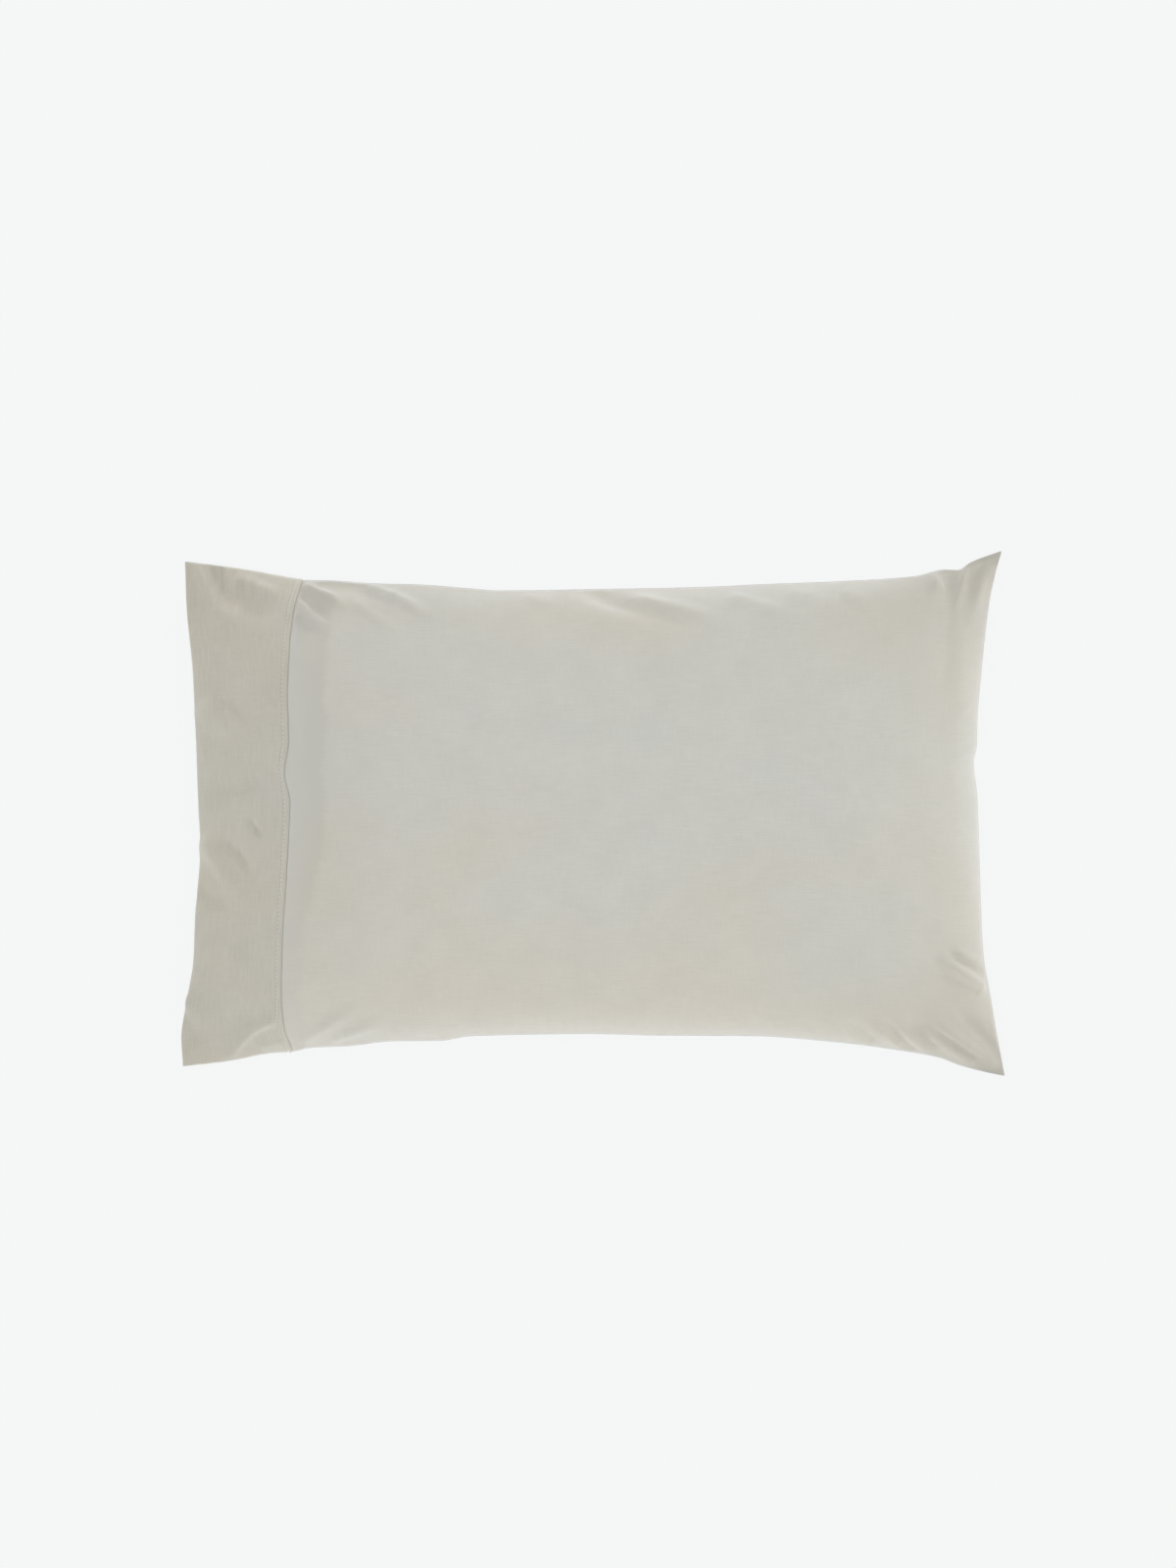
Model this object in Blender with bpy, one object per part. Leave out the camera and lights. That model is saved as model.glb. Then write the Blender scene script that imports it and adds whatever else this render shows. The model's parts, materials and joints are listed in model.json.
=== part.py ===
# A pillowcase as it lies on its back with its pillow in it: a filled body with drawn-in sides and pointed
# closed-end corners, and a doubled cuff sewn round its open end.
# Metres. +X runs from the mouth to the closed end, +Y across the case, +Z up, with the floor at z = 0.

import math

import bmesh
import bpy

CUFF_CLOTH = 0.0023  # the cuff's cloth, doubled and hemmed
CUFF_PROUD = 0.0006  # how far the cuff stands over the body's cloth
TUCK_GAP = 0.0006  # between the cuff and the body inside it
HEM_GAP = 0.0010  # between the cuff's sewn edge and the step of the body
HEM_STEP = 0.0012  # length over which the body's cloth turns down at that step
RIM_ROUNDING = 0.0008  # how far the cuff's two edges are rounded
SEAM_EDGE = 0.0026  # the seam where the upper and lower panels meet
CUFF_WIDTH = 0.098  # from the mouth to the hem line
PILLOW_IN_CUFF = 0.56  # share of the cuff's width that the pillow's end reaches into
PILLOW_DRAW_IN = 0.030  # how far the pillow's sides draw in at its end
PILLOW_CORNER_BACK = 0.30  # share of that reach by which its corners stay back
PILLOW_END_POWER = 2.2
PILLOW_END_ROUNDING = 0.6
SIDE_ROOM = 0.0016  # more room beside the pillow's side edges, where the cuff folds back sharply
CLOSED_END_FALL = 0.190  # length over which the crown falls to the closed end's seam
CLOSED_END_POWER = 2.5  # squareness of that fall
CLOSED_END_ROUNDING = (0.52, 0.80)  # its rounding at the middle and at the corners
SIDE_POWER = 2.3  # squareness of a section across the case
FLAT_FROM = 0.30  # share of the fall from the middle at which the lower panel leaves the floor
LIFT_POWER = 1.5  # how softly it leaves the floor
FOLD_FADE = 0.30  # folds fade out where the case is less full than this, so the seams keep their line
FOLD_END = 1.5  # a fold runs out past its ends over this many of its widths
ACROSS_CELLS = 34
BODY_CELLS = 38
TUCK_CELLS = 7
CUFF_CELLS = 9
EVEN_ACROSS = 0.55  # 1 spaces the cells across evenly, 0 crowds them to the seams
EVEN_ALONG = 0.45  # the same along the body, towards the closed end
TUCK_CROWDING = 1.7  # crowds the cells of the tucked part to the pillow's end
SHARP_DEGREES = 50

# The plan of the side seams: along the case, and out from its middle line.
UPPER_SIDE = [
    # x, y
    (-0.400, 0.247), (-0.341, 0.239), (-0.300, 0.231), (-0.277, 0.227), (-0.214, 0.223),
    (-0.090, 0.217), (0.003, 0.218), (0.111, 0.220), (0.235, 0.225), (0.313, 0.231),
    (0.347, 0.238), (0.357, 0.238), (0.369, 0.245), (0.3985, 0.255),
]
LOWER_SIDE = [
    # x, y
    (-0.402, -0.248), (-0.355, -0.242), (-0.292, -0.232), (-0.275, -0.228), (-0.195, -0.222),
    (-0.112, -0.216), (0.000, -0.2135), (0.156, -0.2155), (0.235, -0.222), (0.318, -0.232),
    (0.339, -0.237), (0.359, -0.245), (0.379, -0.251), (0.4024, -0.255),
]

# The three lines that cross the case: the share of the way across, -1 to 1, and x there.
MOUTH_LINE = [
    (-1.0, -0.4015), (-0.90, -0.4025), (-0.74, -0.396), (-0.57, -0.389), (-0.40, -0.387), (-0.12, -0.382),
    (0.02, -0.3835), (0.18, -0.385), (0.38, -0.387), (0.58, -0.390), (0.82, -0.3965), (1.0, -0.3995),
]
HEM_LINE = [
    (-1.0, -0.2925), (-0.90, -0.3005), (-0.75, -0.3045), (-0.50, -0.3025), (-0.24, -0.2975), (-0.02, -0.2935),
    (0.05, -0.2925), (0.18, -0.2985), (0.32, -0.296), (0.52, -0.297), (0.72, -0.2950), (0.88, -0.291), (1.0, -0.283),
]
CLOSED_LINE = [
    (-1.0, 0.4024), (-0.84, 0.395), (-0.67, 0.387), (-0.52, 0.3795), (-0.22, 0.377), (0.07, 0.3750),
    (0.20, 0.3715), (0.36, 0.3745), (0.54, 0.380), (0.80, 0.3865), (0.92, 0.3925), (1.0, 0.3985),
]

# Heights along the case. Station 0 is the mouth, 1 the hem line and 2 the closed end.
SIDE_SEAM_HEIGHT = [(0.0, 0.012), (0.5, 0.027), (1.0, 0.044), (1.15, 0.054), (1.35, 0.064), (1.6, 0.068),
                    (1.8, 0.062), (1.92, 0.053), (2.0, 0.044)]
MIDDLE_HEIGHT = [(0.0, 0.012), (0.5, 0.024), (1.0, 0.042), (1.15, 0.052), (1.35, 0.062), (1.6, 0.068),
                 (1.8, 0.068), (2.0, 0.062)]
CROWN_HEIGHT = [(0.0, 0.058), (0.5, 0.089), (1.0, 0.118), (1.15, 0.141), (1.35, 0.160), (1.6, 0.169),
                (1.8, 0.167), (2.0, 0.158)]
SIDE_ROUNDING = [(0.0, 0.80), (0.5, 0.70), (1.0, 0.58), (1.3, 0.52), (1.7, 0.52), (1.9, 0.60), (2.0, 0.78)]

# Folds of the upper side: start, end, half-width and rise (a trough has a negative rise).
FOLDS = [
    # x1, y1, x2, y2, width, rise
    (-0.286, 0.222, -0.246, 0.206, 0.010, 0.0045),  # from the hem line's upper end
    (-0.205, 0.214, -0.145, 0.189, 0.011, 0.0040),
    (-0.235, 0.203, -0.193, 0.186, 0.011, -0.0030),
    (0.003, 0.212, 0.090, 0.184, 0.013, -0.0055),  # the long fold at the middle of the upper side
    (0.040, 0.212, 0.110, 0.208, 0.010, 0.0030),
    (0.040, 0.160, 0.040, 0.000, 0.026, -0.0020),  # a soft hollow across the crown
    (0.386, 0.235, 0.352, 0.196, 0.009, -0.0050),  # the closed end's upper corner
    (0.357, 0.229, 0.349, 0.205, 0.009, 0.0050),
    (0.300, -0.196, 0.320, -0.206, 0.010, -0.0045),  # the closed end's lower corner
    (0.320, -0.206, 0.388, -0.243, 0.009, -0.0060),
    (0.324, -0.219, 0.356, -0.236, 0.008, 0.0040),
    (0.255, -0.196, 0.272, -0.214, 0.010, -0.0040),
    (0.345, -0.141, 0.378, -0.156, 0.010, 0.0045),
    (0.350, -0.160, 0.378, -0.176, 0.009, -0.0040),
    (-0.278, -0.225, -0.222, -0.190, 0.011, 0.0045),  # from the hem line's lower end
    (-0.240, -0.222, -0.206, -0.206, 0.010, 0.0030),
    (-0.384, 0.109, -0.330, 0.077, 0.012, 0.0030),  # on the cuff
    (-0.370, 0.020, -0.326, 0.023, 0.010, -0.0040),
    (-0.380, -0.034, -0.342, -0.097, 0.011, 0.0050),
    (-0.350, -0.040, -0.330, -0.071, 0.011, -0.0040),
    (-0.348, -0.232, -0.305, -0.205, 0.010, 0.0045),
    (-0.385, 0.232, -0.352, 0.200, 0.012, -0.0030),
]


def smooth_curve(rows):
    """A smooth function through the rows that never overshoots between two of them."""
    xs = [row[0] for row in rows]
    ys = [row[1] for row in rows]
    steps = [xs[i + 1] - xs[i] for i in range(len(xs) - 1)]
    rises = [(ys[i + 1] - ys[i]) / steps[i] for i in range(len(steps))]
    slopes = [rises[0]]
    for before, after in zip(rises, rises[1:]):
        slopes.append(2 * before * after / (before + after) if before * after > 0 else 0.0)
    slopes.append(rises[-1])

    def value(x):
        x = min(max(x, xs[0]), xs[-1])
        i = 0
        while i < len(steps) - 1 and x > xs[i + 1]:
            i += 1
        t = (x - xs[i]) / steps[i]
        near = (1 + 2 * t) * (1 - t) ** 2 * ys[i] + t * (1 - t) ** 2 * steps[i] * slopes[i]
        far = t * t * (3 - 2 * t) * ys[i + 1] + t * t * (t - 1) * steps[i] * slopes[i + 1]
        return near + far

    return value


upper_side = smooth_curve(UPPER_SIDE)
lower_side = smooth_curve(LOWER_SIDE)
mouth_line = smooth_curve(MOUTH_LINE)
hem_line = smooth_curve(HEM_LINE)
closed_line = smooth_curve(CLOSED_LINE)
side_seam_height = smooth_curve(SIDE_SEAM_HEIGHT)
middle_height = smooth_curve(MIDDLE_HEIGHT)
crown_height = smooth_curve(CROWN_HEIGHT)
side_rounding = smooth_curve(SIDE_ROUNDING)


def blend(a, b, share):
    return a + (b - a) * share


def ease(share):
    share = min(max(share, 0.0), 1.0)
    return share * share * (3 - 2 * share)


def plan_point(station, across):
    """x and y of the case's plan; station runs 0 to 2 along it, and across -1 to 1 from side to side."""
    line_a, line_b = (mouth_line, hem_line) if station < 1 else (hem_line, closed_line)
    along = station if station < 1 else station - 1
    share = (across + 1) / 2
    x = blend(line_a(across), line_b(across), along)
    lower_x = blend(line_a(-1), line_b(-1), along)
    upper_x = blend(line_a(1), line_b(1), along)
    return x, blend(lower_side(lower_x), upper_side(upper_x), share)


def bell(distance, width):
    return math.exp(-((distance / width) ** 2))


def fold_rise(x, y):
    """The sum of the folds at a point of the upper side; each fades at its own two ends."""
    total = 0.0
    for x1, y1, x2, y2, width, rise in FOLDS:
        length = math.hypot(x2 - x1, y2 - y1)
        ux, uy = (x2 - x1) / length, (y2 - y1) / length
        along = (x - x1) * ux + (y - y1) * uy
        aside = (y - y1) * ux - (x - x1) * uy
        past = max(-along, along - length, 0.0)
        total += rise * bell(aside, width) * bell(past, FOLD_END * width)
    return total


def fullness(station, across):
    """How full the case is here: 1 at its crown, 0 at a seam."""
    edge = max(0.0, 1 - abs(across) ** SIDE_POWER)
    sides = edge ** side_rounding(station)
    fall = (2 - station) * (closed_line(0) - hem_line(0)) / CLOSED_END_FALL
    if station < 1 or fall >= 1:
        return sides
    end_rounding = blend(*CLOSED_END_ROUNDING, abs(across) ** 3)
    return sides * (1 - (1 - max(fall, 0.0)) ** CLOSED_END_POWER) ** end_rounding


def case_point(station, across, upper, inset=0.0, full=1.0, draw_in=0.0):
    """A point of the case's upper or lower side, moved in by inset from the outside of the cloth."""
    x, y = plan_point(station, across)
    _, y_low = plan_point(station, -1)
    _, y_high = plan_point(station, 1)
    middle = (y_low + y_high) / 2
    half = (y_high - y_low) / 2
    y = middle + (y - middle) * (1 - (inset + draw_in) / half)
    seam = blend(middle_height(station), side_seam_height(station), across * across)
    here = fullness(station, across) * full
    if upper:
        crown = crown_height(station) - middle_height(station) - inset
        folds = fold_rise(x, y) * ease(here / FOLD_FADE)
        return x, y, seam + crown * here + folds
    lift = max(0.0, (1 - here - FLAT_FROM) / (1 - FLAT_FROM)) ** LIFT_POWER
    floor = max(inset, 0.0)
    return x, y, floor + (seam - floor) * lift


def across_share(cell):
    """-1 at the lower side seam to 1 at the upper one, with more cells near the seams."""
    even = 2 * cell / ACROSS_CELLS - 1
    crowded = -math.cos(math.pi * cell / ACROSS_CELLS)
    return blend(crowded, even, EVEN_ACROSS)


def body_columns():
    """The body's cell lines from the pillow's end to the closed end, as (place, station, inset)."""
    inside = CUFF_CLOTH - CUFF_PROUD + TUCK_GAP
    length = closed_line(0) - hem_line(0)
    first = (HEM_GAP + HEM_STEP) / length
    columns = [("tuck", (cell / TUCK_CELLS) ** TUCK_CROWDING, inside) for cell in range(TUCK_CELLS + 1)]
    columns.append(("case", 1 + (HEM_GAP - HEM_STEP / 6) / length, inside))
    columns.append(("case", 1 + HEM_GAP / length, inside / 2))
    columns.append(("case", 1 + first, 0.0))
    for cell in range(1, BODY_CELLS + 1):
        even = cell / BODY_CELLS
        crowded = math.sin(math.pi / 2 * even)
        columns.append(("case", 1 + blend(first, 1.0, blend(crowded, even, EVEN_ALONG)), 0.0))
    return columns


def body_point(column, across, upper):
    place, at, inset = column
    if place == "case":
        x, y, z = case_point(at, across, upper, inset, draw_in=SIDE_ROOM if inset else 0.0)
        seam = blend(middle_height(at), side_seam_height(at), across * across)
    else:
        start = 1 - PILLOW_IN_CUFF * (1 - PILLOW_CORNER_BACK * across ** 4)
        station = blend(start, 1.0, at)
        full = (1 - (1 - at) ** PILLOW_END_POWER) ** PILLOW_END_ROUNDING
        draw_in = SIDE_ROOM + PILLOW_DRAW_IN * (1 - at) ** 2
        x, y, z = case_point(station, across, upper, inset, full, draw_in)
        seam = blend(middle_height(station), side_seam_height(station), across * across)
    if upper:
        return x, y, max(z, seam + SEAM_EDGE / 2)
    return x, y, min(z, seam - SEAM_EDGE / 2)


def slab(cells_long, cells_across):
    """A closed slab of cells, with its points at whole numbers, to be shaped."""
    bm = bmesh.new()
    bmesh.ops.create_grid(bm, x_segments=cells_long, y_segments=cells_across, size=0.5)
    for vert in bm.verts:
        vert.co.x = round((vert.co.x + 0.5) * cells_long)
        vert.co.y = round((vert.co.y + 0.5) * cells_across)
    grown = bmesh.ops.extrude_face_region(bm, geom=bm.faces[:], use_keep_orig=True)
    for item in grown["geom"]:
        if isinstance(item, bmesh.types.BMVert):
            item.co.z = 1.0
    return bm


def finish_object(name, bm, material, collection):
    bmesh.ops.recalc_face_normals(bm, faces=bm.faces[:])
    if bm.calc_volume(signed=True) < 0:
        bmesh.ops.reverse_faces(bm, faces=bm.faces[:])
    mesh = bpy.data.meshes.new(name)
    bm.to_mesh(mesh)
    bm.free()
    mesh.shade_smooth()
    mesh.set_sharp_from_angle(angle=math.radians(SHARP_DEGREES))
    mesh.materials.append(material)
    obj = bpy.data.objects.new(name, mesh)
    collection.objects.link(obj)
    return obj


def cloth_material(name, colour, roughness):
    material = bpy.data.materials.new(name)
    material.use_nodes = True
    shader = material.node_tree.nodes["Principled BSDF"]
    shader.inputs["Base Color"].default_value = (*colour, 1.0)
    shader.inputs["Roughness"].default_value = roughness
    shader.inputs["Metallic"].default_value = 0.0
    return material


def make_body(collection):
    columns = body_columns()
    bm = slab(len(columns) - 1, ACROSS_CELLS)
    for vert in bm.verts:
        column = columns[round(vert.co.x)]
        vert.co = body_point(column, across_share(round(vert.co.y)), vert.co.z > 0.5)
    material = cloth_material("body percale", (0.58, 0.57, 0.52), 0.85)
    return finish_object("case_body", bm, material, collection)


def cuff_tube():
    """A tube of two skins and rounded rims, with z as its cell line and the radius as its depth in the cloth."""
    bm = bmesh.new()
    bmesh.ops.create_cone(bm, cap_ends=False, segments=2 * ACROSS_CELLS, radius1=1.0, radius2=1.0, depth=1.0)
    lengthwise = [e for e in bm.edges if abs(e.verts[0].co.z - e.verts[1].co.z) > 0.5]
    bmesh.ops.subdivide_edges(bm, edges=lengthwise, cuts=CUFF_CELLS - 1, use_grid_fill=True)
    for vert in bm.verts:
        vert.co.z = round((vert.co.z + 0.5) * CUFF_CELLS)
    grown = bmesh.ops.extrude_face_region(bm, geom=bm.faces[:], use_keep_orig=True)
    for item in grown["geom"]:
        if isinstance(item, bmesh.types.BMVert):
            item.co.x *= 0.5
            item.co.y *= 0.5
    through = [e for e in bm.edges if abs(e.verts[0].co.xy.length - e.verts[1].co.xy.length) > 0.25]
    bmesh.ops.subdivide_edges(bm, edges=through, cuts=1, use_grid_fill=True)
    return bm


def cuff_point(vert):
    cell = round(vert.co.z)
    depth = 2 * (1 - vert.co.xy.length)
    turn = math.atan2(vert.co.y, vert.co.x) / math.pi
    across = -across_share(abs(turn) * ACROSS_CELLS)
    station = cell / CUFF_CELLS
    rounding = RIM_ROUNDING / CUFF_WIDTH if abs(depth - 0.5) > 0.25 else 0.0
    if cell == 0:
        station += rounding
    if cell == CUFF_CELLS:
        station -= rounding
    return case_point(station, across, turn > 0, blend(-CUFF_PROUD, CUFF_CLOTH - CUFF_PROUD, depth))


def make_cuff(collection):
    bm = cuff_tube()
    for vert in bm.verts:
        vert.co = cuff_point(vert)
    material = cloth_material("cuff percale", (0.52, 0.49, 0.42), 0.85)
    return finish_object("cuff", bm, material, collection)


for old in list(bpy.data.objects):
    bpy.data.objects.remove(old, do_unlink=True)
pillowcase = bpy.data.collections.new("pillowcase")
bpy.context.scene.collection.children.link(pillowcase)
make_body(pillowcase)
make_cuff(pillowcase)
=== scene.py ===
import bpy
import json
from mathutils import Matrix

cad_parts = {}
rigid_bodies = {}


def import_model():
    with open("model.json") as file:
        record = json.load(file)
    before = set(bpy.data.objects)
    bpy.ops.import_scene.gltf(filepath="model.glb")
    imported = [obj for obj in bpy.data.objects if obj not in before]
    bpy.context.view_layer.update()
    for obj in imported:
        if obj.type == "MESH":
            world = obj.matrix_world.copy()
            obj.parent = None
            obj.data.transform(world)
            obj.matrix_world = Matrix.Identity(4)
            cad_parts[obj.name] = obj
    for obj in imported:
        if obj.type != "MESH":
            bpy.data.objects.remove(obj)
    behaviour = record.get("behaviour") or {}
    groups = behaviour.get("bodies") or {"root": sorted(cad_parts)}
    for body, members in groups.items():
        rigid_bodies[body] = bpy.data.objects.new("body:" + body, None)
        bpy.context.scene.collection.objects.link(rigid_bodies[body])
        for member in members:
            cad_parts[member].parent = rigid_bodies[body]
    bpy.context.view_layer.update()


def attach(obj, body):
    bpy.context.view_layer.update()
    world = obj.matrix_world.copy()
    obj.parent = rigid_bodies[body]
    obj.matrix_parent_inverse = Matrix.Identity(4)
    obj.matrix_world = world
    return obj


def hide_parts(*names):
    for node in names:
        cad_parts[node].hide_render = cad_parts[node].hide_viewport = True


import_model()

import json
import math

import bpy
import numpy as np
from mathutils import Vector

# how the case lies: the plan of its seams and its heights, in metres, as in the solids
# but with more of the small turns
caseShape = {
    # x, y of the two long seams
    "upperSide": [(-0.400, 0.247), (-0.341, 0.239), (-0.300, 0.2315), (-0.277, 0.2280), (-0.255, 0.2275),
                  (-0.214, 0.2245), (-0.170, 0.2233), (-0.123, 0.2197), (-0.090, 0.2172), (0.003, 0.2184),
                  (0.111, 0.2205), (0.165, 0.2231), (0.235, 0.2258), (0.313, 0.231),
                  (0.345, 0.238), (0.357, 0.2375), (0.369, 0.245), (0.3985, 0.256)],
    "lowerSide": [(-0.402, -0.248), (-0.355, -0.242), (-0.310, -0.2335), (-0.292, -0.2325), (-0.275, -0.2285),
                  (-0.238, -0.2268), (-0.195, -0.2218), (-0.148, -0.2212), (-0.122, -0.2170),
                  (-0.112, -0.2162), (0.000, -0.2142), (0.058, -0.2155), (0.156, -0.2162), (0.235, -0.222),
                  (0.318, -0.2335), (0.339, -0.238), (0.359, -0.2455), (0.379, -0.251), (0.4024, -0.256)],
    # share of the way across, x there
    "mouthLine": [(-1.0, -0.4015), (-0.90, -0.4025), (-0.74, -0.396), (-0.57, -0.389), (-0.40, -0.387),
                  (-0.12, -0.382), (0.02, -0.3835), (0.18, -0.385), (0.38, -0.387), (0.58, -0.390),
                  (0.82, -0.3965), (1.0, -0.3995)],
    "hemLine": [(-1.0, -0.2918), (-0.90, -0.2993), (-0.75, -0.3015), (-0.50, -0.2997), (-0.24, -0.2957),
                (-0.02, -0.2930), (0.05, -0.2925), (0.18, -0.2975), (0.32, -0.2938), (0.52, -0.2952),
                (0.72, -0.2938), (0.88, -0.2894), (1.0, -0.2825)],
    "closedLine": [(-1.0, 0.4030), (-0.84, 0.395), (-0.67, 0.3874), (-0.55, 0.3818), (-0.42, 0.3795),
                   (-0.22, 0.3777), (0.07, 0.3750), (0.19, 0.3715), (0.265, 0.3748), (0.34, 0.3752),
                   (0.54, 0.3795), (0.80, 0.3875), (0.92, 0.3940), (1.0, 0.4000)],
    # station 0 is the mouth, 1 the hem line, 2 the closed end
    "sideHeight": [(0.0, 0.012), (0.5, 0.027), (1.0, 0.044), (1.15, 0.054), (1.35, 0.064), (1.6, 0.068),
                   (1.8, 0.062), (1.92, 0.053), (2.0, 0.044)],
    "middleHeight": [(0.0, 0.012), (0.5, 0.024), (1.0, 0.042), (1.15, 0.052), (1.35, 0.062), (1.6, 0.068),
                     (1.8, 0.068), (2.0, 0.062)],
    "crownHeight": [(0.0, 0.058), (0.5, 0.089), (1.0, 0.118), (1.15, 0.141), (1.35, 0.160), (1.6, 0.169),
                    (1.8, 0.167), (2.0, 0.158)],
    "sideRounding": [(0.0, 0.80), (0.5, 0.70), (1.0, 0.58), (1.3, 0.52), (1.7, 0.52), (1.9, 0.60),
                     (2.0, 0.78)],
    "sidePower": 2.3, "endFall": 0.190, "endPower": 2.5, "endRounding": (0.52, 0.80),
    "flatFrom": 0.30, "liftPower": 1.5,
}
fullTurn = 6.283  # radians


def smoothCurve(rows):
    # a smooth function through the rows that never overshoots between two of them
    xs = np.array([row[0] for row in rows], float)
    ys = np.array([row[1] for row in rows], float)
    steps = np.diff(xs)
    rises = np.diff(ys) / steps
    slopes = np.zeros(len(xs))
    slopes[0], slopes[-1] = rises[0], rises[-1]
    for i in range(1, len(xs) - 1):
        if rises[i - 1] * rises[i] > 0:
            slopes[i] = 2 * rises[i - 1] * rises[i] / (rises[i - 1] + rises[i])

    def value(x):
        x = np.clip(x, xs[0], xs[-1])
        i = np.clip(np.searchsorted(xs, x, side="right") - 1, 0, len(steps) - 1)
        t = (x - xs[i]) / steps[i]
        near = (1 + 2 * t) * (1 - t) ** 2 * ys[i] + t * (1 - t) ** 2 * steps[i] * slopes[i]
        far = t * t * (3 - 2 * t) * ys[i + 1] + t * t * (t - 1) * steps[i] * slopes[i + 1]
        return near + far

    return value


curves = {key: smoothCurve(rows) for key, rows in caseShape.items() if isinstance(rows, list)}
bodyLength = float(curves["closedLine"](0.0) - curves["hemLine"](0.0))


def blend(a, b, share):
    return a + (b - a) * share


def ease(share):
    share = np.clip(share, 0, 1)
    return share * share * (3 - 2 * share)


def planPoint(station, across):
    inCuff = station < 1
    along = np.where(inCuff, station, station - 1)

    def crossing(at):
        cuffX = blend(curves["mouthLine"](at), curves["hemLine"](at), along)
        bodyX = blend(curves["hemLine"](at), curves["closedLine"](at), along)
        return np.where(inCuff, cuffX, bodyX)

    low = curves["lowerSide"](crossing(-1.0 + 0 * across))
    high = curves["upperSide"](crossing(1.0 + 0 * across))
    return crossing(across), blend(low, high, (across + 1) / 2), low, high


def fullness(station, across):
    sides = np.maximum(0, 1 - np.abs(across) ** caseShape["sidePower"]) ** curves["sideRounding"](station)
    fall = np.clip((2 - station) * bodyLength / caseShape["endFall"], 0, 1)
    rounding = blend(*caseShape["endRounding"], np.abs(across) ** 3)
    return sides * (1 - (1 - fall) ** caseShape["endPower"]) ** rounding


def seamHeight(station, across):
    return blend(curves["middleHeight"](station), curves["sideHeight"](station), across * across)


def casePoints(station, across, upper, inset=0.0, full=1.0, drawIn=0.0):
    # points of the upper or lower side, moved in by inset from the outside of the cloth
    station, across = np.broadcast_arrays(np.asarray(station, float), np.asarray(across, float))
    x, y, low, high = planPoint(station, across)
    middle, half = (low + high) / 2, (high - low) / 2
    y = middle + (y - middle) * (1 - (inset + drawIn) / half)
    seam = seamHeight(station, across)
    here = fullness(station, across) * full
    if upper:
        z = seam + (curves["crownHeight"](station) - curves["middleHeight"](station) - inset) * here
    else:
        flatFrom = caseShape["flatFrom"]
        lift = np.maximum(0, (1 - here - flatFrom) / (1 - flatFrom)) ** caseShape["liftPower"]
        floor = np.maximum(inset, 0.0)
        z = floor + (seam - floor) * lift
    return np.stack([x, y, z], axis=-1)


# the camera looks straight down; frameHeight is what its picture covers at the floor
cameraPlace = {"x": -0.0038, "y": 0.0289, "distance": 6.0, "frameHeight": 1.5422, "sensor": 36.0}
# the photograph's frame in pixels, its scale at the floor, and how many places a pixel is looked up on
photoFrame = {"width": 1200, "height": 1600, "metresPerPixel": 0.0009639, "placesAlong": 801,
              "placesAcross": 501}
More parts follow.
